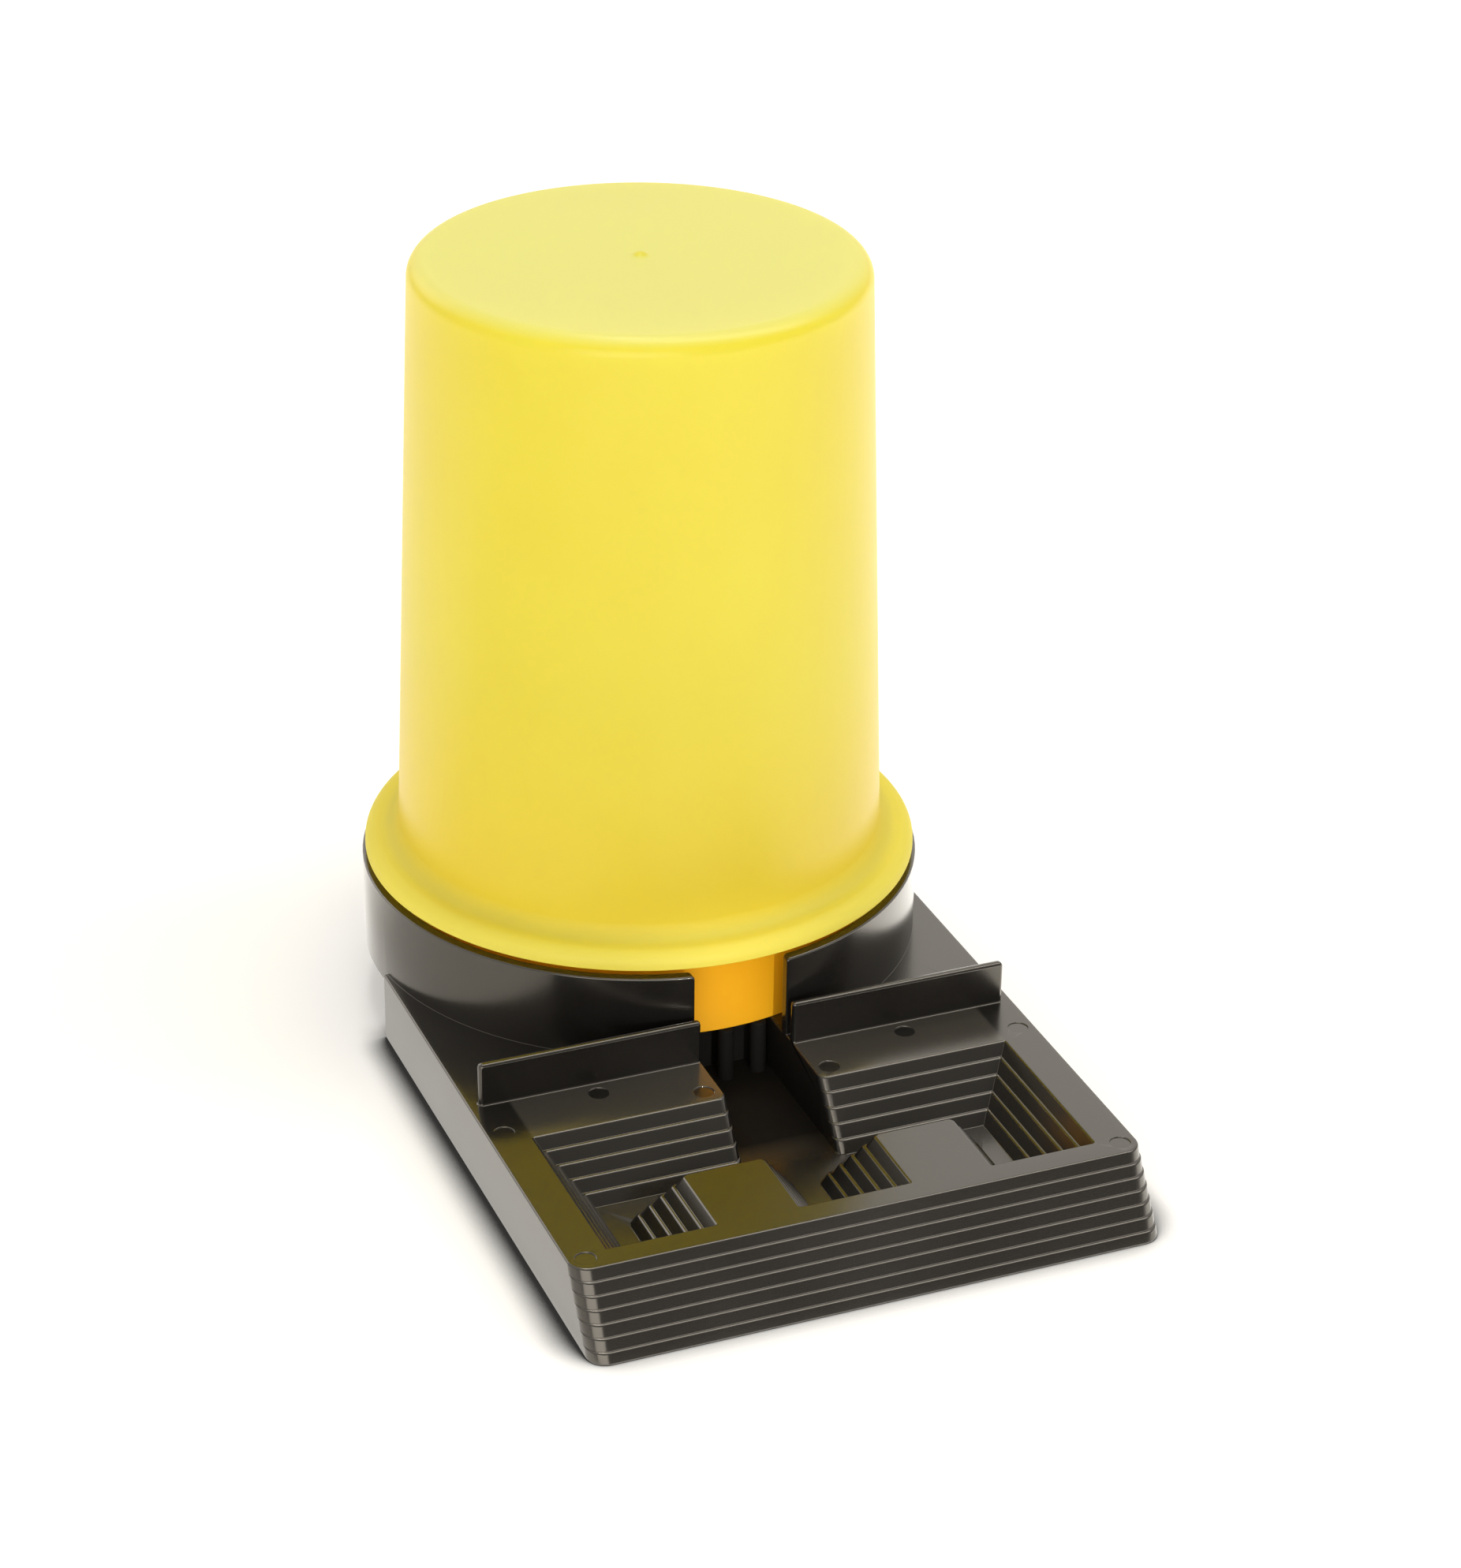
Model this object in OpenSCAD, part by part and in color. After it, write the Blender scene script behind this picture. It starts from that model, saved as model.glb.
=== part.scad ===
// Gravity-fed drinker for a beehive: a stepped tray whose tongue slides into the hive entrance,
// and an inverted pot that stands in the round dish behind it.
// Millimetres, +Z up, -Y into the hive. The origin is on the ground under the middle of the object.

/* [Dish] */
// Outside diameter of the collar round the dish
collar_d = 120; // [112:1:130]
// Thickness of the collar
collar_t = 2.4; // [1.6:0.1:3.5]
// Height of the collar above the top of the plate
collar_h = 18.3; // [14:0.1:26]
// Depth of the dish floor below the top of the plate
dish_drop = 0.5; // [0.3:0.1:1.2]
// Outside diameter of the ring foot under the dish
foot_d = 84; // [70:1:88]
// Number of centring ribs inside the collar
rib_posts = 6; // [6:6:18]
// Thickness of a centring rib
rib_post_t = 1.8; // [1.2:0.1:3]
// Distance of a centring rib's top below the collar's top
rib_post_drop = 3.6; // [2:0.1:8]
// Lead-in at the top of a centring rib
rib_post_lead = 2.4; // [1:0.1:4]
// Gap between the pot's rim and the centring ribs
rim_clear = 0.4; // [0.3:0.1:1]

/* [Plate] */
// Width of the plate
plate_w = 121; // [112:1:135]
// Height of the plate
plate_h = 15.5; // [13:0.1:20]
// Wall thickness of the tray
skin = 2; // [1.4:0.1:2.6]
// Distance of the plate's rear edge in front of the dish axis
rear_setback = 5.7; // [2:0.1:20]
// Radius of the front corners
corner_r = 4; // [3:0.1:6]
// Number of ribs on the sloping front
rib_count = 7; // [4:1:9]
// Step from one front rib to the next
rib_tread = 1.56; // [1.2:0.01:2.5]
// Level part of that step, below the leaning face of the rib above
rib_ledge = 0.6; // [0.3:0.05:0.8]

/* [Stop fins] */
// Distance of the fins' front faces from the collar
fin_gap = 2.8; // [2.4:0.1:8]
// Height of a fin above the plate
fin_h = 9.5; // [5:0.1:16]
// Thickness of a fin
fin_t = 1.8; // [1.2:0.1:2.4]
// Distance of a fin's outer end from the side of the plate
fin_end = 2.3; // [1:0.1:10]
// Radius of a fin's outer top corner
fin_corner = 1; // [0.5:0.1:3]

/* [Drinking trough] */
// Width of the feed channel and of the gap in the collar
channel_w = 20.4; // [14:0.1:24]
// Radius of the collar's top corners at the gap
gap_corner = 0.8; // [0.4:0.1:2]
// How far the channel reaches in under the pot, past the inside of its rim
channel_reach = 4.6; // [2:0.1:6]
// Length of the platforms between the fins and the trough
platform_len = 14.5; // [10:0.1:24]
// Length of the trough at the top
trough_len = 41.7; // [36:0.1:60]
// Width of the rim in front of the trough
front_rim = 5.5; // [4:0.1:12]
// Width of the rims beside the trough
side_rim = 8.5; // [5:0.1:14]
// Height of the trough floor above the ground
trough_floor = 3; // [2.7:0.1:4.5]
// Number of steps down to the floor
step_count = 5; // [3:1:7]
// Tread of the steps at the rear of the trough
rear_tread = 2.21; // [1:0.01:2.6]
// Tread of the steps at the sides of the trough and of the islands
side_tread = 1.95; // [1:0.01:2.4]
// Tread of the steps at the front of the trough and at the islands' ends
end_tread = 1.2; // [0.8:0.01:1.8]
// Level part of each tread, below the leaning face of the step above
step_ledge = 0.5; // [0.2:0.05:0.7]
// Radius of the platforms' corners at the channel
platform_corner = 2; // [1:0.1:4]
// Width of an island at the top
island_w = 17.4; // [10:0.1:20]
// Clear width between the two islands at the top
island_gap = 23.6; // [20:0.1:30]
// Length of an island at the top
island_len = 18.5; // [12:0.1:22]
// Radius of the islands' rear corners
island_corner = 1.2; // [0.6:0.1:3]

/* [Strainer posts] */
// Diameter of the posts that stand in the channel under the pot's rim
post_d = 3.4; // [2:0.1:4]
// Number of posts
post_count = 3; // [1:1:3]
// Distance between the posts
post_pitch = 7.5; // [5:0.1:8]

/* [Mould marks] */
// Diameter of the ejector marks on the plate
mark_d = 4.2; // [2:0.1:5]
// Depth of the ejector marks
mark_depth = 0.2; // [0.1:0.05:0.4]
// Distance of the middle marks from the plate's centre line
mark_x = 34; // [26:0.5:40]
// Distance of a mark's centre from the edge beside it
mark_inset = 3.7; // [2.6:0.1:5]

/* [Pot] */
// Height of the pot from its rim to its closed end
pot_h = 153; // [90:1:200]
// Wall thickness of the pot
pot_t = 1.6; // [1.2:0.1:2.4]
// Diameter of the pot where it meets its flange
pot_d = 104.2; // [96:0.1:108]
// Taper of the pot's wall towards its closed end, in degrees
pot_draft = 2.18; // [0.5:0.01:4]
// Radius of the edge round the closed end
pot_edge = 4; // [2.5:0.1:12]
// Thickness of the rim that stands in the dish
rim_t = 1; // [0.8:0.1:1.6]
// How much smaller the rim is than the pot above it, on the radius
rim_step = 0.5; // [0.2:0.1:1]
// Taper of the skirt between the rim and the flange, on the radius
skirt_taper = 0.3; // [0.1:0.1:0.4]
// Radius of the fillet between the pot and its flange
flange_fillet = 3.5; // [1:0.1:4]
// Height of the flange and its lip
lip_h = 3.8; // [3.4:0.1:8]
// Radius of the lip's upper edge
lip_edge = 3; // [2.5:0.1:3.2]
// Gap between the collar and the lip above it
lip_gap = 1.5; // [0.5:0.1:4]
// How far the lip stays inside the collar's outside, on the radius
lip_inset = 0.7; // [0:0.1:2]
// Diameter of the gate mark on the closed end
gate_d = 3.6; // [2:0.1:6]
// Height of the gate mark
gate_h = 0.7; // [0.3:0.1:1.5]

/* [Hidden] */
$fn = 120;
over = 1;
sink = 0.3;
arc_steps = 8;

collar_r = collar_d / 2;
collar_in = collar_r - collar_t;
collar_top = plate_h + collar_h;
dish_floor = plate_h - dish_drop;
fin_face = collar_r + fin_gap;
trough_rear = fin_face + platform_len;
trough_front = trough_rear + trough_len;
front_top = trough_front + front_rim;
front_foot = front_top + rib_count * rib_tread - rib_ledge;
dish_y = (front_foot - collar_r) / 2;

rib_h = plate_h / rib_count;
step_h = (plate_h - trough_floor) / step_count;
trough_half = plate_w / 2 - side_rim;
channel_half = channel_w / 2;
island_in = island_gap / 2;
island_out = island_in + island_w;
island_rear = trough_front - island_len;

pot_r = pot_d / 2;
rim_r = pot_r - rim_step;
rim_in = rim_r - rim_t;
channel_end = rim_in - channel_reach;
lip_r = collar_r - lip_inset;
lip_z = collar_top + lip_gap;
flange_z = lip_z + lip_h;
pot_top = dish_floor + pot_h;

// Points of an arc about centre c, from angle a0 to angle a1
function arc(c, r, a0, a1) = [
    for (i = [0:arc_steps])
        let (a = a0 + (a1 - a0) * i / arc_steps)
            [c[0] + r * cos(a), c[1] + r * sin(a)]
];

// Outside radius of the pot's tapered wall at height z
function pot_wall(z) = pot_r - (z - flange_z) * tan(pot_draft);

// Rectangle along +Y whose two far corners are rounded
module tab(width, length, corner) {
    translate([-width / 2, 0])
        square([width, length - corner]);
    translate([corner - width / 2, 0])
        square([width - 2 * corner, length]);
    for (side = [-1, 1])
        translate([side * (width / 2 - corner), length - corner])
            circle(corner);
}

// Plan of the plate at one level, drawn in from its outside by inset
module plate_plan(front, inset) {
    rotate(180)
        translate([0, rear_setback + inset])
            tab(plate_w - 2 * inset, front - rear_setback - 2 * inset, corner_r - inset);
}

// Plate with its ribbed, sloping front
module plate_block() {
    for (level = [0:rib_count - 1])
        linear_extrude(plate_h - level * rib_h)
            plate_plan(front_top + level * rib_tread, 0);
}

// Hollow underside of the plate, which follows the ribs
module plate_hollow() {
    for (level = [0:rib_count - 1])
        translate([0, 0, -over])
            linear_extrude(over + min(plate_h - level * rib_h, plate_h - skin))
                plate_plan(front_top + (level - 1) * rib_tread, skin);
}

// Right half of the trough's outline at one step, from the channel round to the middle of the front
function half_trough(level, grow) =
    let (
        side = channel_half + grow,
        rear = trough_rear + level * rear_tread - grow,
        front = trough_front - level * end_tread + grow,
        half = trough_half - level * side_tread + grow,
        outer = island_out + level * side_tread - grow,
        inner = island_in - level * side_tread + grow,
        tip = island_rear - level * end_tread + grow
    )
    concat(
        [[side, grow - channel_end]],
        arc([side + platform_corner, platform_corner - rear], platform_corner, 180, 270),
        [[half, -rear], [half, -front], [outer, -front]],
        arc([outer - island_corner, -tip - island_corner], island_corner, 0, 90),
        arc([inner + island_corner, -tip - island_corner], island_corner, 90, 180),
        [[inner, -front]]
    );

// Stepped trough with its two islands and the feed channel, grown by grow
module trough(grow) {
    for (level = [0:step_count - 1]) {
        right = half_trough(level, grow);
        left = [for (i = [len(right) - 1:-1:0]) [-right[i][0], right[i][1]]];
        depth = (level + 1) * step_h + grow;
        translate([0, 0, plate_h - depth])
            linear_extrude(depth + (grow == 0 ? over : 0))
                polygon(concat(right, left));
    }
}

// Leaning face of one step. It runs along +X with the open side towards +Y, and is sunk into the step by foot
module lean(length, height, depth, foot) {
    rotate([90, 0, 90])
        linear_extrude(length)
            polygon([[0, height], [-sink, height - sink], [-sink, -foot], [depth, -foot], [depth, 0]]);
}

// Leaning faces on the straight walls of the trough, each with the trough on its left
module trough_leans() {
    for (level = [0:step_count - 1], side = [0, 1]) {
        rear = trough_rear + level * rear_tread;
        front = trough_front - level * end_tread;
        half = trough_half - level * side_tread;
        outer = island_out + level * side_tread;
        inner = island_in - level * side_tread;
        tip = island_rear - level * end_tread;
        walls = [
            [half, -rear, 180, half - channel_half - platform_corner, rear_tread],
            [half, -front, 90, front - rear, side_tread],
            [outer, -front, 0, half - outer, end_tread],
            [outer, -tip - island_corner, -90, front - tip - island_corner, side_tread],
            [inner + island_corner, -tip, 0, outer - inner - 2 * island_corner, end_tread],
            [inner, -front, 90, front - tip - island_corner, side_tread],
            [0, -front, 0, inner, end_tread]
        ];
        mirror([side, 0, 0])
            for (wall = walls)
                translate([wall[0], wall[1], plate_h - (level + 1) * step_h])
                    rotate(wall[2])
                        lean(wall[3], step_h, wall[4] - step_ledge, sink);
    }
}

// Leaning faces on the ribs of the front, between its rounded corners
module rib_leans() {
    straight = plate_w - 2 * corner_r;
    for (level = [0:rib_count - 1])
        translate([straight / 2, -front_top - level * rib_tread, plate_h - (level + 1) * rib_h])
            rotate(180)
                lean(straight, rib_h, rib_tread - rib_ledge, level < rib_count - 1 ? sink : 0);
}

// Floor, collar and ring foot of the dish
module dish() {
    translate([0, 0, dish_floor - skin])
        difference() {
            cylinder(h = collar_top - dish_floor + skin, r = collar_r);
            translate([0, 0, skin])
                cylinder(h = collar_top, r = collar_in);
        }
    difference() {
        cylinder(h = dish_floor - skin / 2, d = foot_d);
        translate([0, 0, -over])
            cylinder(h = plate_h, d = foot_d - 2 * skin);
    }
}

// Ribs inside the collar that keep the pot's rim central
module centring_ribs() {
    inner = rim_r + skirt_taper + rim_clear;
    outer = collar_in + collar_t / 2;
    foot = dish_floor - skin / 2;
    top = collar_top - rib_post_drop;
    for (i = [0:rib_posts - 1])
        rotate(i * 360 / rib_posts)
            rotate([90, 0, 0])
                translate([0, 0, -rib_post_t / 2])
                    linear_extrude(rib_post_t)
                        polygon([
                            [inner, foot],
                            [outer, foot],
                            [outer, top],
                            [inner + rib_post_lead, top],
                            [inner, top - rib_post_lead]
                        ]);
}

// Upright fins that stop against the front of the hive
module fins() {
    end = plate_w / 2 - fin_end;
    top = plate_h + fin_h;
    outline = concat(
        [[channel_half, plate_h - skin / 2], [end, plate_h - skin / 2]],
        arc([end - fin_corner, top - fin_corner], fin_corner, 0, 90),
        [[channel_half, top]]
    );
    for (side = [0, 1])
        mirror([side, 0, 0])
            translate([0, fin_t - fin_face, 0])
                rotate([90, 0, 0])
                    linear_extrude(fin_t)
                        polygon(outline);
}

// Gap in the collar above the channel, with rounded upper corners
module collar_gap() {
    right = concat(
        [[channel_half, dish_floor]],
        arc([channel_half + gap_corner, collar_top - gap_corner], gap_corner, 180, 90),
        [[channel_half + gap_corner, collar_top + over]]
    );
    left = [for (i = [len(right) - 1:-1:0]) [-right[i][0], right[i][1]]];
    translate([0, -channel_end, 0])
        rotate([90, 0, 0])
            linear_extrude(collar_r + over - channel_end)
                polygon(concat(right, left));
}

// Round ejector marks on the platforms and the side rims
module ejector_marks() {
    places = [
        [mark_x, fin_face + mark_inset],
        [channel_half + mark_inset, trough_rear - mark_inset],
        [plate_w / 2 - mark_inset, trough_rear - mark_inset],
        [plate_w / 2 - mark_inset, front_top - mark_inset]
    ];
    for (place = places, side = [-1, 1])
        translate([side * place[0], -place[1], plate_h - mark_depth])
            cylinder(h = over, d = mark_d);
}

// Posts that carry the pot's rim across the channel and keep the bees out of the pot
module strainer_posts() {
    ring = (rim_r + rim_in) / 2;
    for (i = [0:post_count - 1]) {
        x = (i - (post_count - 1) / 2) * post_pitch;
        translate([x, -sqrt(ring * ring - x * x), trough_floor - skin / 2])
            cylinder(h = dish_floor - trough_floor + skin / 2, d = post_d);
    }
}

// Black tray moulded in one piece
module base_tray() {
    color("#2a2825")
        translate([0, dish_y, 0]) {
            difference() {
                union() {
                    difference() {
                        union() {
                            difference() {
                                plate_block();
                                plate_hollow();
                            }
                            trough(skin);
                            dish();
                        }
                        translate([0, 0, dish_floor])
                            cylinder(h = collar_top, r = collar_in);
                    }
                    centring_ribs();
                    fins();
                }
                trough(0);
                collar_gap();
                ejector_marks();
            }
            strainer_posts();
            trough_leans();
            rib_leans();
        }
}

// Half section of the pot: closed end, wall, flange with its turned-down lip, skirt and rim
function pot_section() =
    let (
        shoulder = pot_top - pot_edge,
        edge_x = pot_wall(shoulder) - pot_edge,
        fillet_z = flange_z + flange_fillet,
        lip_centre = [lip_r - lip_edge, flange_z - lip_edge]
    )
    concat(
        [[0, pot_top + gate_h], [gate_d / 4, pot_top + gate_h], [gate_d / 2, pot_top]],
        arc([edge_x, shoulder], pot_edge, 90, 0),
        arc([pot_wall(fillet_z) + flange_fillet, fillet_z], flange_fillet, 180, 270),
        arc(lip_centre, lip_edge, 90, 0),
        [[lip_r, lip_z], [lip_r - pot_t, lip_z]],
        arc(lip_centre, lip_edge - pot_t, 0, 90),
        [[rim_r + skirt_taper, flange_z - pot_t]],
        [[rim_r, dish_floor], [rim_in, dish_floor], [pot_r - pot_t, flange_z]],
        arc([edge_x, shoulder], pot_edge - pot_t, 0, 90),
        [[0, pot_top - pot_t]]
    );

// Yellow pot, filled and then turned over into the dish
module reservoir() {
    color("#f2d94a")
        translate([0, dish_y, 0])
            rotate_extrude()
                polygon(pot_section());
}

base_tray();
reservoir();
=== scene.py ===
"""Looks of a gravity-fed drinker for a beehive: a black moulded tray and a translucent yellow pot."""
import math

import bmesh
import bpy
from mathutils import Matrix, Vector

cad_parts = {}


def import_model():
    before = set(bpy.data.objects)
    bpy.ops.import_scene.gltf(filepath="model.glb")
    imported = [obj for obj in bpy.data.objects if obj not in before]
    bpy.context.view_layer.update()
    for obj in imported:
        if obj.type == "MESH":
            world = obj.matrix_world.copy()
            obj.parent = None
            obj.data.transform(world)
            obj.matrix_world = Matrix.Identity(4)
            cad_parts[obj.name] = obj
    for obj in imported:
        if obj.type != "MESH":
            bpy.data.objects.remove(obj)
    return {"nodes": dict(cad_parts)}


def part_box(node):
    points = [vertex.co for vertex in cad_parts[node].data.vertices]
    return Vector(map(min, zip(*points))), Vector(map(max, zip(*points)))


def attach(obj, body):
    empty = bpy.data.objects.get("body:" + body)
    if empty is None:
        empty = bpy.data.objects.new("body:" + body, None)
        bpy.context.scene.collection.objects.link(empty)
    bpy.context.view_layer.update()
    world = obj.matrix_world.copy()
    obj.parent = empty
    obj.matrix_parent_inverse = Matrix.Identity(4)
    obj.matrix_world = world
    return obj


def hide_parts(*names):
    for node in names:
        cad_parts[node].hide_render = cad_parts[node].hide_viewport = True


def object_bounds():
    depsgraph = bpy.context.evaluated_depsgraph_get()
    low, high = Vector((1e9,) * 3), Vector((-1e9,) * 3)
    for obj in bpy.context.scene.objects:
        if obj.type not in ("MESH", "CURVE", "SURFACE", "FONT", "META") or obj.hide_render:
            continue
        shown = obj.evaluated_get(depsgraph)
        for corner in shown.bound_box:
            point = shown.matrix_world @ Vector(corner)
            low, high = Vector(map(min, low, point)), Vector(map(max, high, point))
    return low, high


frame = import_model()
cad_low, cad_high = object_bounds()
tray_low, tray_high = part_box("base_tray")
pot_low, pot_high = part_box("reservoir")

MM = 0.001
OBJECT_MIDDLE = (cad_low + cad_high) / 2

# Camera: where the photograph was taken from, as a place, two angles and a small roll
PHOTO_SIZE = (1852, 1988)
FOCAL_PIXELS = 5084.3
CAMERA_PLACE = Vector((-0.27243, -0.67838, 0.45107))
CAMERA_AZIMUTH = 22.307
CAMERA_ELEVATION = 27.786
CAMERA_ROLL = 0.793
SENSOR = 36.0
NEAREST_SEEN = 10 * MM

# Tray mesh: how close points are one point, and which edges are flat or sharp
WELD = 0.002 * MM
CORNER_FIND = 0.02 * MM
FLAT_ANGLE = math.radians(0.6)
SHARP_ANGLE = math.radians(32)

# Tray edges
EDGE_ROUND = 0.4 * MM
EDGE_ROOM = 1.3 * EDGE_ROUND
CORNER_ROUND = 0.1 * MM
FIN_ROUND = 0.7 * MM
ROUND_SEGMENTS = 3

# Tray from its front to its fins: ribs, rim, trough with two islands, platforms beside the channel
PLATE_TOP = 15.5 * MM
PLATE_HALF = tray_high.x
MARK_DEPTH = 0.2 * MM
RIB_COUNT = 7
RIB_HEIGHT = PLATE_TOP / RIB_COUNT
RIB_TREAD = 1.56 * MM
RIB_LEDGE = 0.6 * MM
FRONT_TOP = tray_low.y + RIB_COUNT * RIB_TREAD - RIB_LEDGE
FRONT_CORNER = 4 * MM
FRONT_RIM = 5.5 * MM
SIDE_RIM = 8.5 * MM
TROUGH_LENGTH = 41.7 * MM
TROUGH_FRONT = FRONT_TOP + FRONT_RIM
TROUGH_REAR = TROUGH_FRONT + TROUGH_LENGTH
TROUGH_HALF = PLATE_HALF - SIDE_RIM
STEP_COUNT = 5
STEP_HEIGHT = 2.5 * MM
STEP_LEDGE = 0.5 * MM
REAR_TREAD = 2.21 * MM
SIDE_TREAD = 1.95 * MM
END_TREAD = 1.2 * MM
CHANNEL_HALF = 10.2 * MM
CHANNEL_MOUTH = (-50 * MM, -40 * MM)
CHANNEL_END = (-4 * MM, -8 * MM)
PLATFORM_LENGTH = 14.5 * MM
PLATFORM_CORNER = 2 * MM
ISLAND_WIDTH = 17.4 * MM
ISLAND_LENGTH = 18.5 * MM
ISLAND_CORNER = 1.2 * MM
ISLAND_IN = 11.8 * MM
ISLAND_OUT = ISLAND_IN + ISLAND_WIDTH
ISLAND_REAR = TROUGH_FRONT + ISLAND_LENGTH
FIN_THICKNESS = 1.8 * MM
FIN_FACE = TROUGH_REAR + PLATFORM_LENGTH
FIN_BACK = FIN_FACE + FIN_THICKNESS

# Pot, upside down: closed end on top, flange and lip over the collar, skirt below
POT_AXIS_Y = (pot_low.y + pot_high.y) / 2
POT_TURN_STEPS = 192
ARC_STEPS = 14
POT_WALL = 1.6 * MM
POT_RADIUS = 52.1 * MM
POT_DRAFT = math.radians(2.18)
POT_EDGE = 4 * MM
LIP_RADIUS = (pot_high.x - pot_low.x) / 2
LIP_HEIGHT = 3.8 * MM
LIP_EDGE = 3 * MM
LIP_FOOT = 35.3 * MM
FLANGE_TOP = LIP_FOOT + LIP_HEIGHT
FLANGE_FILLET = 3.5 * MM
RIM_RADIUS = 51.6 * MM
RIM_WALL = 1.0 * MM
RIM_ROUND = 0.3 * MM
SKIRT_TAPER = 0.3 * MM
GATE_RADIUS = 1.8 * MM
GATE_HEIGHT = 0.7 * MM
POT_TOP = pot_high.z - GATE_HEIGHT

# Tray plastic
TRAY_COLOURS = ((0.007, 0.0065, 0.006), (0.010, 0.0095, 0.009))
TRAY_CLOUD_SPAN = (0.35, 0.65)
TRAY_TINT = (1.0, 0.93, 0.82)
TRAY_IOR = 1.56
TRAY_SPECULAR = 0.85
TRAY_ROUGHNESS = (0.16, 0.26)
TRAY_GRAIN = 0.08
CHANNEL_SPECULAR = 0.05
CHANNEL_ROUGHNESS = 0.6
# Lighter colour on the level platforms between trough and fins
PLATFORM_LIGHTER_COLOUR = (0.043, 0.040, 0.034)
LEVEL_SPAN = (0.9, 0.98)

# Pot plastic: what it scatters back, and what it lets through
POT_COLOURS = ((0.82, 0.84, 0.085), (0.83, 0.86, 0.10))
POT_DEPTHS = ((0.98, 0.83, 0.02), (0.99, 0.86, 0.03))
POT_CLOUD_SPAN = (0.3, 0.7)
# Painted light and painted shade in the pot's colour: paler closed end and lip, deeper gate bump, foot and
# skirt
END_PAINTED_LIGHT_COLOUR = (0.75, 0.92, 0.32)
GATE_PAINTED_SHADE_COLOUR = (0.72, 0.80, 0.09)
FOOT_PAINTED_SHADE_COLOUR = (0.92, 0.84, 0.065)
FLANGE_PAINTED_LIGHT_COLOUR = (0.97, 0.98, 0.18)
# Painted shade: the skirt below the lip is deep orange, as little light reaches it inside the collar
SKIRT_PAINTED_SHADE_COLOUR = (0.99, 0.52, 0.0)
SKIRT_PAINTED_SHADE_DEPTH = (0.99, 0.74, 0.02)
FOOT_PAINTED_SHADE_TOP = 90 * MM
POT_TRANSLUCENCY = 0.5
SKIRT_TRANSLUCENCY = 0.25
POT_IOR = 1.5
POT_SPECULAR = 0.8
POT_ROUGHNESS = (0.30, 0.38)
FLANGE_ROUGHNESS = 0.6
POT_GRAIN = 0.04
GRAIN_DEPTH = 0.05 * MM

# Floor: its colour, its shade close to the object, and how bright it shows through the pot and in the gloss
FLOOR_SIZE = 4.0
FLOOR_COLOUR = (0.95, 0.95, 0.95)
FLOOR_LIFT = 0.18
CONTACT_COLOUR = (0.06, 0.06, 0.06)
CONTACT_REACH = 9 * MM
CONTACT_SPAN = (0.57, 0.95)
THROUGH_GLOW = 0.65
LEFT_GLOSS = (0.1, 0.95)
LEFT_GLOSS_SPAN = (-85 * MM, -55 * MM)
RIGHT_GLOSS = 1.6
RIGHT_GLOSS_SPAN = (50 * MM, 90 * MM)
BACK_GLOSS = 1.1
BACK_GLOSS_SPAN = (60 * MM, 120 * MM)

# Light
LIGHT_COLOUR = (1.0, 0.97, 0.92)
LIGHT_BOUNCES = 24
TENT_LIGHT = 0.49
TENT_FRONT = 0.28
TENT_FRONT_SPAN = (-0.7, -0.1)
SPOT_SOFTNESS = 0.6
SPOT_RADIUS = 20 * MM
SKIRT_FRONT = Vector((0, POT_AXIS_Y - RIM_RADIUS, 16 * MM))


def new_object(name, data):
    """An object with that mesh, lamp or camera, in the scene."""
    made = bpy.data.objects.new(name, data)
    bpy.context.scene.collection.objects.link(made)
    return made


def mesh_from(bm, name):
    """A smooth-shaded mesh from a bmesh, which is freed."""
    for face in bm.faces:
        face.smooth = True
    mesh = bpy.data.meshes.new(name)
    bm.to_mesh(mesh)
    bm.free()
    return mesh


def weighted_normals(piece):
    """Large faces keep their own direction, so that only the rounded edges bend the light."""
    modifier = piece.modifiers.new("weighted_normals", "WEIGHTED_NORMAL")
    modifier.mode = "FACE_AREA"
    modifier.weight = 100
    modifier.keep_sharp = False


def flat_patch(face):
    """The sharp edges round all faces that lie in one plane with this one and join it."""
    found, rim, queue = {face}, [], [face]
    while queue:
        here = queue.pop()
        for edge in here.edges:
            if edge.calc_face_angle(0) > SHARP_ANGLE:
                rim.append(edge)
                continue
            for other in edge.link_faces:
                if other not in found and other.normal.angle(face.normal) < FLAT_ANGLE:
                    found.add(other)
                    queue.append(other)
    return rim


def room_across(loop, rim):
    """How far the face reaches from the middle of an edge, straight across, before its next sharp edge."""
    start, end = loop.vert.co, loop.link_loop_next.vert.co
    middle = (start + end) / 2
    along = (end - start).normalized()
    inward = loop.face.normal.cross(along)
    room = math.inf
    for edge in rim:
        a, b = (vertex.co - middle for vertex in edge.verts)
        side_a, side_b = a.dot(along), b.dot(along)
        if edge == loop.edge or side_a * side_b > 0 or abs(side_a - side_b) < WELD / 10:
            continue
        share = side_a / (side_a - side_b)
        distance = a.dot(inward) * (1 - share) + b.dot(inward) * share
        if distance > WELD:
            room = min(room, distance)
    return room


def edge_radius(edge):
    """How round an edge is: most on the fins, least in inner corners other than the fins' feet."""
    places = [vertex.co for vertex in edge.verts]
    above_plate = all(place.z > PLATE_TOP - WELD for place in places)
    on_fin = above_plate and all(FIN_FACE - WELD < place.y < FIN_BACK + WELD for place in places)
    if edge.is_convex:
        return FIN_ROUND if on_fin else EDGE_ROUND
    return EDGE_ROUND if on_fin else CORNER_ROUND


def edge_weights(bm):
    """Share of the largest rounding that each edge takes, less where two edges run close together."""
    layer = bm.edges.layers.float.new("bevel_weight_edge")
    rims = {face: flat_patch(face) for face in bm.faces}
    for edge in bm.edges:
        if edge.calc_face_angle(0) > SHARP_ANGLE:
            room = min(room_across(loop, rims[loop.face]) for loop in edge.link_loops)
            edge[layer] = min(1, room / EDGE_ROOM) * edge_radius(edge) / FIN_ROUND


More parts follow.
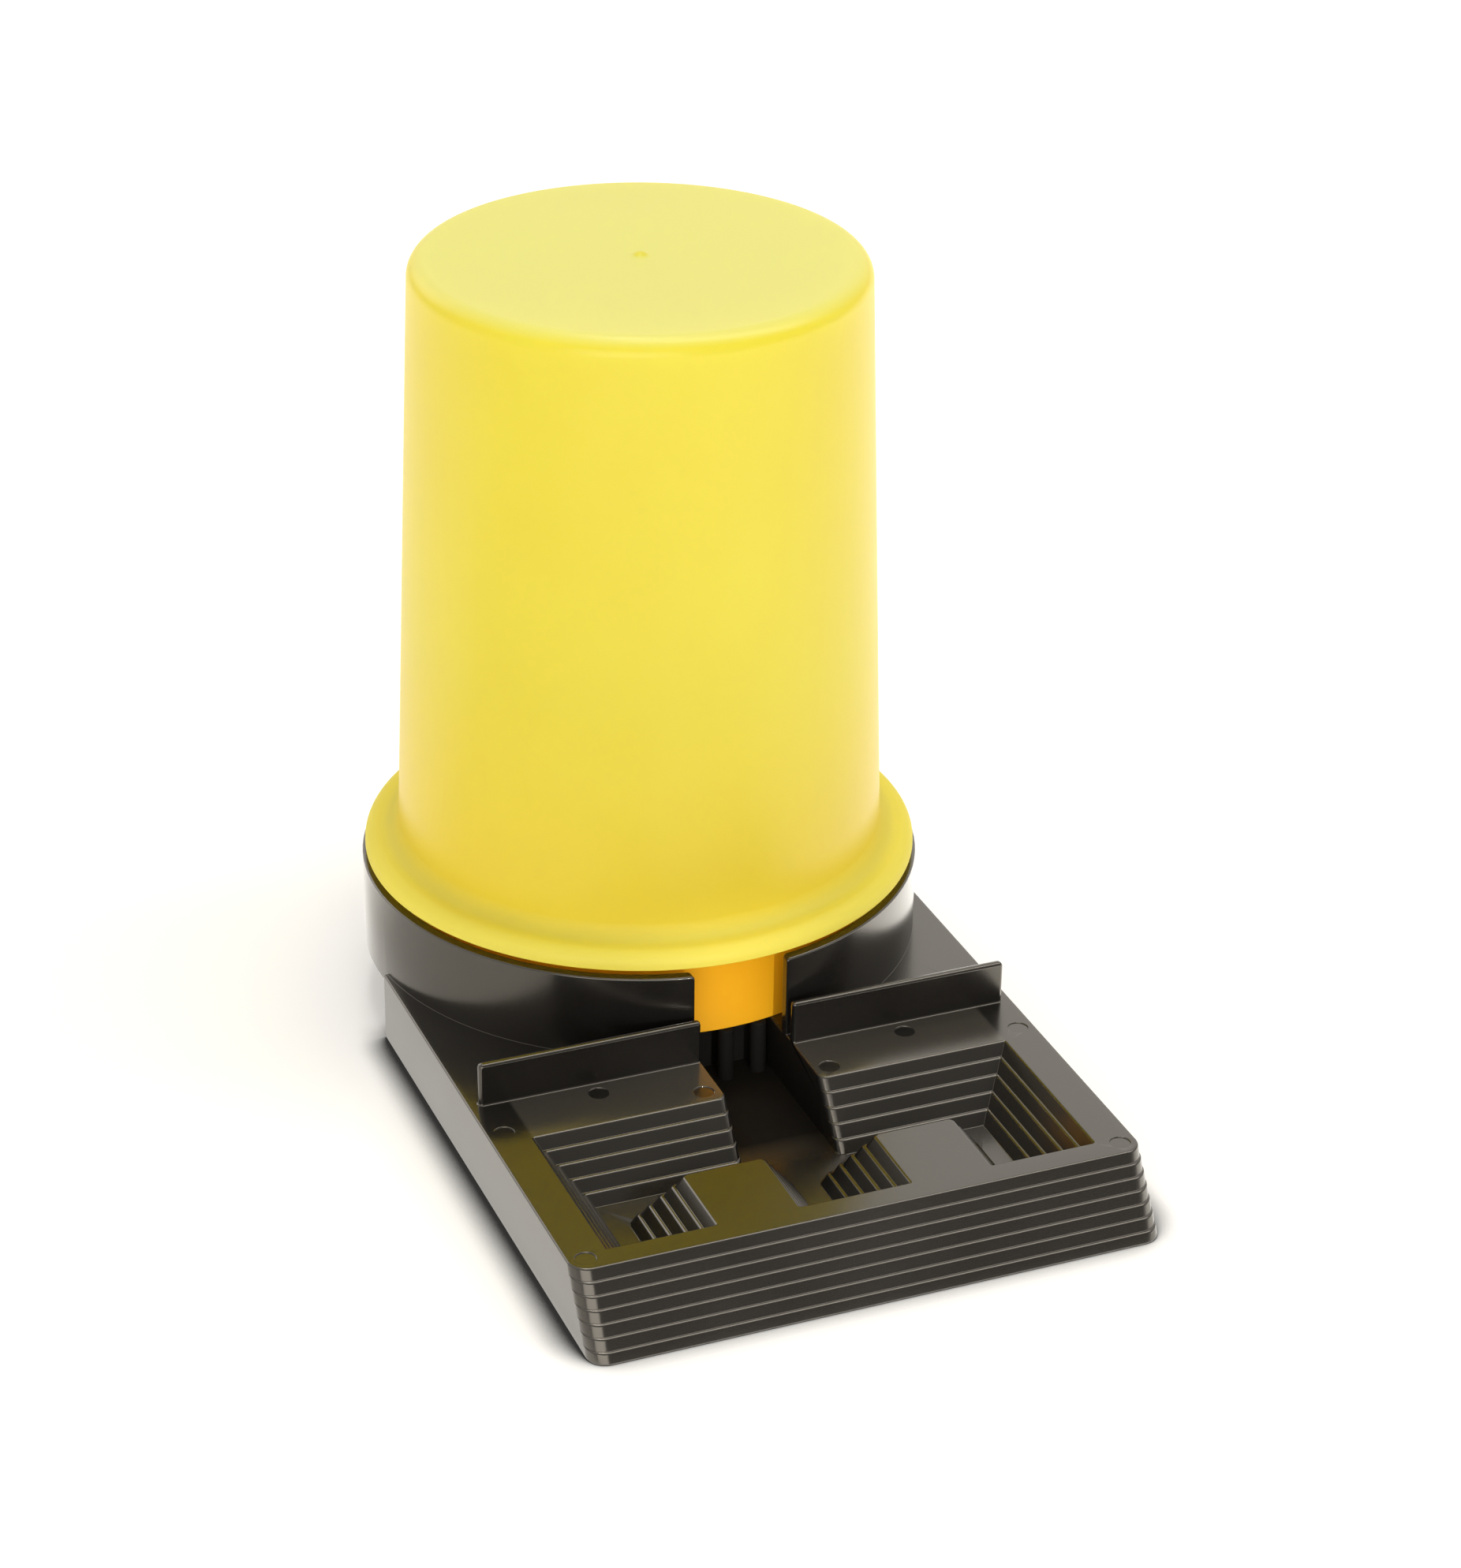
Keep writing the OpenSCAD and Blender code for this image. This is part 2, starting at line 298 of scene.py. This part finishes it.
def lean_corner(bm, count, height, ledge, centre, radius, facing, tread):
    """Lean a rounded corner of every step, as the straight faces beside it lean.

    The corner is a quarter circle about centre, on the side that facing points to, and moves by tread from
    one step to the next. The lower edge of each step moves out by the leaning part of the tread."""
    lean = Vector([part - math.copysign(ledge, part) if part else 0 for part in tread])
    for level in range(count):
        foot = PLATE_TOP - (level + 1) * height
        middle = centre + level * tread
        for vertex in bm.verts:
            reach = Vector((abs(vertex.co.x), vertex.co.y)) - middle
            on_side = all(part * side > -CORNER_FIND for part, side in zip(reach, facing))
            on_arc = abs(reach.length - radius) < CORNER_FIND
            if on_side and on_arc and abs(vertex.co.z - foot) < CORNER_FIND:
                vertex.co.x += math.copysign(lean.x, lean.x * vertex.co.x)
                vertex.co.y += lean.y


def lean_corners(bm):
    """Lean the rounded corners of the front ribs, the platforms' steps and the islands' steps."""
    ribs = (RIB_COUNT, RIB_HEIGHT, RIB_LEDGE)
    steps = (STEP_COUNT, STEP_HEIGHT, STEP_LEDGE)
    front = Vector((PLATE_HALF - FRONT_CORNER, FRONT_TOP + FRONT_CORNER))
    platform = Vector((CHANNEL_HALF + PLATFORM_CORNER, TROUGH_REAR + PLATFORM_CORNER))
    island_in = Vector((ISLAND_IN + ISLAND_CORNER, ISLAND_REAR - ISLAND_CORNER))
    island_out = Vector((ISLAND_OUT - ISLAND_CORNER, ISLAND_REAR - ISLAND_CORNER))
    lean_corner(bm, *ribs, front, FRONT_CORNER, (1, -1), Vector((0, -RIB_TREAD)))
    lean_corner(bm, *steps, platform, PLATFORM_CORNER, (-1, -1), Vector((0, -REAR_TREAD)))
    lean_corner(bm, *steps, island_in, ISLAND_CORNER, (-1, 1), Vector((-SIDE_TREAD, END_TREAD)))
    lean_corner(bm, *steps, island_out, ISLAND_CORNER, (1, 1), Vector((SIDE_TREAD, END_TREAD)))


def tray_piece():
    """The tray's solid with every edge rounded and every inner corner filled, as in a moulding."""
    bm = bmesh.new()
    bm.from_mesh(frame["nodes"]["base_tray"].data)
    bmesh.ops.remove_doubles(bm, verts=bm.verts, dist=WELD)
    lean_corners(bm)
    bmesh.ops.remove_doubles(bm, verts=bm.verts, dist=CORNER_FIND)
    bmesh.ops.dissolve_limit(bm, angle_limit=FLAT_ANGLE, verts=bm.verts, edges=bm.edges)
    bmesh.ops.connect_verts_concave(bm, faces=bm.faces)
    bm.normal_update()
    edge_weights(bm)
    piece = new_object("tray", mesh_from(bm, "tray"))
    bevel = piece.modifiers.new("round_edges", "BEVEL")
    bevel.width = FIN_ROUND
    bevel.segments = ROUND_SEGMENTS
    bevel.limit_method = "WEIGHT"
    bevel.use_clamp_overlap = False
    bevel.loop_slide = False
    bevel.miter_outer = "MITER_ARC"
    weighted_normals(piece)
    return piece


def arc(centre, radius, start, end):
    """Points of an arc in the (radius, height) plane, angles in degrees."""
    points = []
    for step in range(ARC_STEPS + 1):
        angle = math.radians(start + (end - start) * step / ARC_STEPS)
        points.append((centre[0] + radius * math.cos(angle), centre[1] + radius * math.sin(angle)))
    return points


def pot_wall(height):
    """Outside radius of the pot's tapered wall."""
    return POT_RADIUS - (height - FLANGE_TOP) * math.tan(POT_DRAFT)


def gate_section():
    """Half section of the small bump in the middle of the closed end, from its top to its foot."""
    shares = [(0, 1), (0.35, 0.95), (0.65, 0.5), (1, 0.05), (1.5, 0)]
    return [(GATE_RADIUS * out, POT_TOP + GATE_HEIGHT * up) for out, up in shares]


def pot_section():
    """Half section of the pot, from the middle of the closed end outside round to its middle inside."""
    shoulder = POT_TOP - POT_EDGE
    edge_x = pot_wall(shoulder) - POT_EDGE
    fillet_z = FLANGE_TOP + FLANGE_FILLET
    lip_centre = (LIP_RADIUS - LIP_EDGE, FLANGE_TOP - LIP_EDGE)
    rim_z = pot_low.z
    rim_in = RIM_RADIUS - RIM_WALL
    return (
        gate_section()
        + arc((edge_x, shoulder), POT_EDGE, 90, 0)
        + arc((pot_wall(fillet_z) + FLANGE_FILLET, fillet_z), FLANGE_FILLET, 180, 270)
        + arc(lip_centre, LIP_EDGE, 90, 0)
        + arc((LIP_RADIUS - RIM_ROUND, LIP_FOOT + RIM_ROUND), RIM_ROUND, 0, -90)
        + arc((LIP_RADIUS - POT_WALL + RIM_ROUND, LIP_FOOT + RIM_ROUND), RIM_ROUND, -90, -180)
        + arc(lip_centre, LIP_EDGE - POT_WALL, 0, 90)
        + [(RIM_RADIUS + SKIRT_TAPER, FLANGE_TOP - POT_WALL)]
        + arc((RIM_RADIUS - RIM_ROUND, rim_z + RIM_ROUND), RIM_ROUND, 0, -90)
        + arc((rim_in + RIM_ROUND, rim_z + RIM_ROUND), RIM_ROUND, -90, -180)
        + [(POT_RADIUS - POT_WALL, FLANGE_TOP)]
        + arc((edge_x, shoulder), POT_EDGE - POT_WALL, 0, 90)
        + [(0, POT_TOP - POT_WALL)]
    )


def pot_ring(bm, radius, height):
    """A circle of points about the pot's axis, or one point on it."""
    if radius == 0:
        return [bm.verts.new((0, POT_AXIS_Y, height))]
    ring = []
    for step in range(POT_TURN_STEPS):
        angle = 2 * math.pi * step / POT_TURN_STEPS
        ring.append(bm.verts.new((radius * math.cos(angle), POT_AXIS_Y + radius * math.sin(angle), height)))
    return ring


def pot_piece():
    """The pot as a surface of revolution with its real wall."""
    bm = bmesh.new()
    rings = [pot_ring(bm, radius, height) for radius, height in pot_section()]
    for upper, lower in zip(rings, rings[1:]):
        for step in range(POT_TURN_STEPS):
            after = (step + 1) % POT_TURN_STEPS
            corners = [upper[step % len(upper)], lower[step % len(lower)]]
            corners += [lower[after % len(lower)], upper[after % len(upper)]]
            bm.faces.new(list(dict.fromkeys(corners)))
    bmesh.ops.remove_doubles(bm, verts=bm.verts, dist=WELD)
    bmesh.ops.recalc_face_normals(bm, faces=bm.faces)
    piece = new_object("pot", mesh_from(bm, "pot"))
    weighted_normals(piece)
    return piece


def rgba(colour):
    """A colour as a socket holds it."""
    return (*colour, 1)


class Nodes:
    """The node tree of a material or world, with short ways to add nodes.

    The numbers and colours that its methods give back are sockets."""

    def __init__(self, owner, output):
        owner.use_nodes = True
        self.tree = owner.node_tree
        self.tree.nodes.clear()
        self.output = self.add(output)

    def add(self, kind, inputs=None, **settings):
        """A node with those settings, whose inputs are joined to sockets or set to constants."""
        node = self.tree.nodes.new(kind)
        for key, value in settings.items():
            setattr(node, key, value)
        for key, value in (inputs or {}).items():
            if isinstance(value, bpy.types.NodeSocket):
                self.tree.links.new(value, node.inputs[key])
            else:
                node.inputs[key].default_value = value
        return node

    def finish(self, surface):
        """Show that shader on the surface."""
        self.tree.links.new(surface, self.output.inputs["Surface"])

    def place(self):
        """The place on the object, in the object's own space."""
        return self.add("ShaderNodeTexCoord").outputs["Object"]

    def noise(self, scale, detail):
        """Noise in the object's own space, so that it stays put on the surface."""
        inputs = {"Vector": self.place(), "Scale": scale, "Detail": detail}
        return self.add("ShaderNodeTexNoise", inputs).outputs["Fac"]

    def bump(self, source, strength):
        """A surface direction that is roughened by source."""
        inputs = {"Height": source, "Strength": strength, "Distance": GRAIN_DEPTH}
        return self.add("ShaderNodeBump", inputs).outputs["Normal"]

    def number(self, source, low, high, start=0, end=1):
        """Number that goes from low to high as source goes from start to end."""
        inputs = {"Value": source, "From Min": start, "From Max": end, "To Min": low, "To Max": high}
        return self.add("ShaderNodeMapRange", inputs).outputs["Result"]

    def part(self, source, axis):
        """One part of a vector: X, Y or Z."""
        return self.add("ShaderNodeSeparateXYZ", {"Vector": source}).outputs[axis]

    def along(self, axis, start, end):
        """Number that goes from 0 to 1 as the place on the object goes from start to end along an axis."""
        return self.number(self.part(self.place(), axis), 0, 1, start, end)

    def within(self, axis, half, edge):
        """Number that is 1 up to half on both sides of the middle along an axis, and 0 past a soft edge."""
        return self.product(self.along(axis, -half - edge, -half), self.along(axis, half + edge, half))

    def facing_up(self):
        """Number that is 1 on level faces that look up, and 0 on all others."""
        normal = self.add("ShaderNodeNewGeometry").outputs["Normal"]
        return self.number(self.part(normal, "Z"), 0, 1, *LEVEL_SPAN)

    def combine(self, operation, first, second):
        """Two numbers taken together."""
        return self.add("ShaderNodeMath", {0: first, 1: second}, operation=operation).outputs["Value"]

    def product(self, *numbers):
        """All numbers multiplied."""
        total = numbers[0]
        for number in numbers[1:]:
            total = self.combine("MULTIPLY", total, number)
        return total

    def largest(self, *numbers):
        """The largest of the numbers."""
        most = numbers[0]
        for number in numbers[1:]:
            most = self.combine("MAXIMUM", most, number)
        return most

    def ramp(self, source, low, high, low_colour, high_colour):
        """Colour that goes from one to the other as source goes from low to high."""
        made = self.add("ShaderNodeValToRGB", {"Fac": source})
        for stop, place, colour in zip(made.color_ramp.elements, (low, high), (low_colour, high_colour)):
            stop.position = place
            stop.color = rgba(colour)
        return made.outputs["Color"]

    def blend(self, source, base, over):
        """Base colour, with another colour over it where source is 1."""
        inputs = {"Factor": source, "A": base, "B": rgba(over)}
        return self.add("ShaderNodeMix", inputs, data_type="RGBA").outputs["Result"]


def in_channel(shader):
    """Number that is 1 on everything inside the feed channel, and 0 on the rest of the tray."""
    across = shader.within("X", CHANNEL_HALF, 2 * EDGE_ROUND)
    below = shader.along("Z", PLATE_TOP, PLATE_TOP - MARK_DEPTH)
    return shader.product(across, below, shader.along("Y", *CHANNEL_MOUTH), shader.along("Y", *CHANNEL_END))


def on_platforms(shader):
    """Number that is 1 on the level ground between trough and fins, except in the round marks."""
    across = shader.within("X", TROUGH_HALF - EDGE_ROUND, 2 * EDGE_ROUND)
    behind_trough = shader.along("Y", TROUGH_REAR - EDGE_ROUND, TROUGH_REAR + EDGE_ROUND)
    before_fins = shader.along("Y", FIN_FACE + EDGE_ROUND, FIN_FACE - EDGE_ROUND)
    above_marks = shader.along("Z", PLATE_TOP - 0.8 * MARK_DEPTH, PLATE_TOP - 0.4 * MARK_DEPTH)
    return shader.product(across, behind_trough, before_fins, above_marks, shader.facing_up())


def tray_material():
    """Black plastic with the soft gloss of a used mould, matt in the channel and lighter on the level
    platforms.
    """
    material = bpy.data.materials.new("tray_plastic")
    shader = Nodes(material, "ShaderNodeOutputMaterial")
    cloud = shader.noise(scale=35, detail=4)
    black = shader.ramp(cloud, *TRAY_CLOUD_SPAN, *TRAY_COLOURS)
    gloss = shader.number(cloud, *TRAY_ROUGHNESS)
    channel = in_channel(shader)
    surface = shader.add("ShaderNodeBsdfPrincipled", {
        # lighter on the level platforms between trough and fins
        "Base Color": shader.blend(on_platforms(shader), black, PLATFORM_LIGHTER_COLOUR),
        "Roughness": shader.number(channel, gloss, CHANNEL_ROUGHNESS),
        "IOR": TRAY_IOR,
        "Normal": shader.bump(shader.noise(scale=2600, detail=2), TRAY_GRAIN),
        "Specular IOR Level": shader.number(channel, TRAY_SPECULAR, CHANNEL_SPECULAR),
        "Specular Tint": rgba(TRAY_TINT),
    })
    shader.finish(surface.outputs["BSDF"])
    return material


def pot_material():
    """Translucent yellow plastic, paler on the closed end and lip as painted light, deeper on the gate,
    foot and skirt as painted shade.
    """
    material = bpy.data.materials.new("pot_plastic")
    shader = Nodes(material, "ShaderNodeOutputMaterial")
    fillet_top = FLANGE_TOP + FLANGE_FILLET
    on_skirt = shader.along("Z", LIP_FOOT + RIM_ROUND, LIP_FOOT - POT_WALL)
    near_flange = shader.along("Z", fillet_top + 2 * FLANGE_FILLET, fillet_top)
    cloud = shader.noise(scale=30, detail=3)
    colour = shader.ramp(cloud, *POT_CLOUD_SPAN, *POT_COLOURS)
    # painted light: the closed end is paler where light falls straight on it from above
    colour = shader.blend(shader.along("Z", POT_TOP - POT_EDGE / 2, POT_TOP), colour, END_PAINTED_LIGHT_COLOUR)
    # painted shade: the small bump in the middle of the closed end is darker, for the shade on it
    colour = shader.blend(shader.along("Z", POT_TOP, POT_TOP + GATE_HEIGHT / 2), colour, GATE_PAINTED_SHADE_COLOUR)
    # painted shade: the lower wall is deeper, as the black tray behind it keeps light from coming through
    colour = shader.blend(shader.along("Z", FOOT_PAINTED_SHADE_TOP, fillet_top), colour, FOOT_PAINTED_SHADE_COLOUR)
    # painted light: the flange and lip are paler, as light falls on their tops
    colour = shader.blend(shader.along("Z", fillet_top, FLANGE_TOP - POT_WALL), colour, FLANGE_PAINTED_LIGHT_COLOUR)
    depth = shader.ramp(cloud, *POT_CLOUD_SPAN, *POT_DEPTHS)
    gloss = shader.number(cloud, *POT_ROUGHNESS)
    surface = shader.add("ShaderNodeBsdfPrincipled", {
        # painted shade: the skirt is deep orange, as it lies in shade inside the collar
        "Base Color": shader.blend(on_skirt, colour, SKIRT_PAINTED_SHADE_COLOUR),
        "Roughness": shader.number(near_flange, gloss, FLANGE_ROUGHNESS),
        "IOR": POT_IOR,
        "Normal": shader.bump(shader.noise(scale=1800, detail=2), POT_GRAIN),
        "Specular IOR Level": POT_SPECULAR,
    })
    # painted shade: the light let through the skirt is deeper orange too
    through = shader.add("ShaderNodeBsdfTranslucent", {"Color": shader.blend(on_skirt, depth, SKIRT_PAINTED_SHADE_DEPTH)})
    both = shader.add("ShaderNodeMixShader", {
        "Fac": shader.number(on_skirt, POT_TRANSLUCENCY, SKIRT_TRANSLUCENCY),
        1: surface.outputs["BSDF"],
        2: through.outputs["BSDF"],
    })
    shader.finish(both.outputs["Shader"])
    return material


def floor_material():
    """White that darkens close to the object for the camera, and glows through the pot and in its gloss."""
    material = bpy.data.materials.new("floor_white")
    shader = Nodes(material, "ShaderNodeOutputMaterial")
    ray = shader.add("ShaderNodeLightPath").outputs
    sky = shader.add("ShaderNodeAmbientOcclusion", {"Distance": CONTACT_REACH}).outputs["AO"]
    unseen = shader.number(ray["Is Camera Ray"], 1, 0)
    clear = shader.number(shader.largest(sky, unseen), 0, 1, *CONTACT_SPAN)
    shade = shader.ramp(clear, 0, 1, CONTACT_COLOUR, FLOOR_COLOUR)
    matt = shader.add("ShaderNodeBsdfDiffuse", {"Color": shade})
    direct = shader.number(shader.product(ray["Is Camera Ray"], clear), 0, FLOOR_LIFT)
    glow = shader.number(ray["Is Transmission Ray"], 0, THROUGH_GLOW)
    left = shader.number(shader.along("X", *LEFT_GLOSS_SPAN), *LEFT_GLOSS)
    right = shader.number(shader.along("X", *RIGHT_GLOSS_SPAN), 0, RIGHT_GLOSS)
    back = shader.number(shader.along("Y", *BACK_GLOSS_SPAN), 0, BACK_GLOSS)
    gloss = shader.product(ray["Is Glossy Ray"], shader.largest(left, right, back))
    strength = shader.largest(direct, glow, gloss)
    lift = shader.add("ShaderNodeEmission", {"Color": rgba(LIGHT_COLOUR), "Strength": strength})
    total = shader.add("ShaderNodeAddShader", {0: matt.outputs["BSDF"], 1: lift.outputs["Emission"]})
    shader.finish(total.outputs["Shader"])
    return material


def floor():
    """Plain white floor under the object, which takes its shadow."""
    half = FLOOR_SIZE / 2
    mesh = bpy.data.meshes.new("floor")
    corners = [(-half, -half, 0), (half, -half, 0), (half, half, 0), (-half, half, 0)]
    mesh.from_pydata(corners, [], [(0, 1, 2, 3)])
    mesh.materials.append(floor_material())
    made = new_object("floor", mesh)


def world():
    """White surroundings, as in a light tent that is open at the front, where its gloss is weaker."""
    made = bpy.data.worlds.new("tent")
    shader = Nodes(made, "ShaderNodeOutputWorld")
    ray = shader.add("ShaderNodeLightPath").outputs
    direction = shader.add("ShaderNodeTexCoord").outputs["Generated"]
    seen = shader.largest(ray["Is Camera Ray"], ray["Is Transmission Ray"])
    strength = shader.add("ShaderNodeMix", {
        "Factor": ray["Is Glossy Ray"],
        "A": shader.number(seen, TENT_LIGHT, 1),
        "B": shader.number(shader.part(direction, "Y"), TENT_FRONT, 1, *TENT_FRONT_SPAN),
    })
    inputs = {"Color": rgba(LIGHT_COLOUR), "Strength": strength.outputs["Result"]}
    shader.finish(shader.add("ShaderNodeBackground", inputs).outputs["Background"])
    bpy.context.scene.world = made


def hang_lamp(name, lamp, place, aim=OBJECT_MIDDLE):
    """Hang a lamp, unseen by the camera, so that it looks at the object's middle or at another place."""
    lamp.color = LIGHT_COLOUR
    made = new_object(name, lamp)
    made.location = place
    made.rotation_mode = "QUATERNION"
    made.rotation_quaternion = (aim - Vector(place)).to_track_quat("-Z", "Y")
    made.visible_camera = False


def softbox(name, place, width, height, radiance):
    """A large lamp with an even face of that brightness."""
    lamp = bpy.data.lights.new(name, "AREA")
    lamp.shape = "RECTANGLE"
    lamp.size = width
    lamp.size_y = height
    lamp.energy = radiance * math.pi * width * height
    hang_lamp(name, lamp, place)


def sun(name, towards, strength, spread):
    """A far lamp, which lights the floor evenly: strength 1 makes a white card that faces it white."""
    lamp = bpy.data.lights.new(name, "SUN")
    lamp.energy = strength * math.pi
    lamp.angle = math.radians(spread)
    hang_lamp(name, lamp, OBJECT_MIDDLE + Vector(towards))


def spot(name, place, aim, width, strength):
    """A narrow lamp that lights a round of that width: strength 1 makes a white card there white."""
    distance = (aim - Vector(place)).length
    lamp = bpy.data.lights.new(name, "SPOT")
    lamp.energy = strength * (2 * math.pi * distance) ** 2
    lamp.spot_size = 2 * math.atan(width / 2 / distance)
    lamp.spot_blend = SPOT_SOFTNESS
    lamp.shadow_soft_size = SPOT_RADIUS
    hang_lamp(name, lamp, place, aim)


def lamps():
    """Soft light from above and behind, a fill from the front left, and a spot on the skirt in the gap."""
    sun("back_sun", towards=(0.10, 0.36, 0.92), strength=0.12, spread=10)
    softbox("overhead_strip", place=(0.36, -0.1, 1.05), width=0.35, height=1.2, radiance=3.7)
    softbox("back_softbox", place=(0.5, 1.2, 0.68), width=1.8, height=1.2, radiance=0.5)
    softbox("left_back_softbox", place=(-0.5, 1.05, 0.62), width=0.6, height=0.6, radiance=1.6)
    softbox("front_fill", place=(-0.6, -1.15, 0.4), width=1.2, height=0.8, radiance=2.9)
    spot("gap_spot", place=(-0.1, -1.0, 0.3), aim=SKIRT_FRONT, width=0.034, strength=1.0)


def camera():
    """The photograph's viewpoint."""
    lens = bpy.data.cameras.new("camera")
    lens.sensor_width = SENSOR
    lens.lens = FOCAL_PIXELS / max(PHOTO_SIZE) * SENSOR
    lens.clip_start = NEAREST_SEEN
    made = new_object("camera", lens)
    azimuth = math.radians(CAMERA_AZIMUTH)
    elevation = math.radians(CAMERA_ELEVATION)
    turn = Matrix.Rotation(-azimuth, 4, "Z") @ Matrix.Rotation(math.pi / 2 - elevation, 4, "X")
    roll = Matrix.Rotation(math.radians(CAMERA_ROLL), 4, "Z")
    made.matrix_world = Matrix.Translation(CAMERA_PLACE) @ turn @ roll
    bpy.context.scene.camera = made


def bounces():
    """Let light pass the pot's two faces and cross its hollow often enough to come out again."""
    cycles = bpy.context.scene.cycles
    cycles.max_bounces = LIGHT_BOUNCES
    cycles.diffuse_bounces = LIGHT_BOUNCES
    cycles.transmission_bounces = LIGHT_BOUNCES


bpy.context.scene.view_settings.view_transform = "Standard"
bounces()
camera()
world()
floor()
lamps()

tray = tray_piece()
tray.data.materials.append(tray_material())
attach(tray, "tray")
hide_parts("base_tray")

pot = pot_piece()
pot.data.materials.append(pot_material())
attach(pot, "pot")
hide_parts("reservoir")
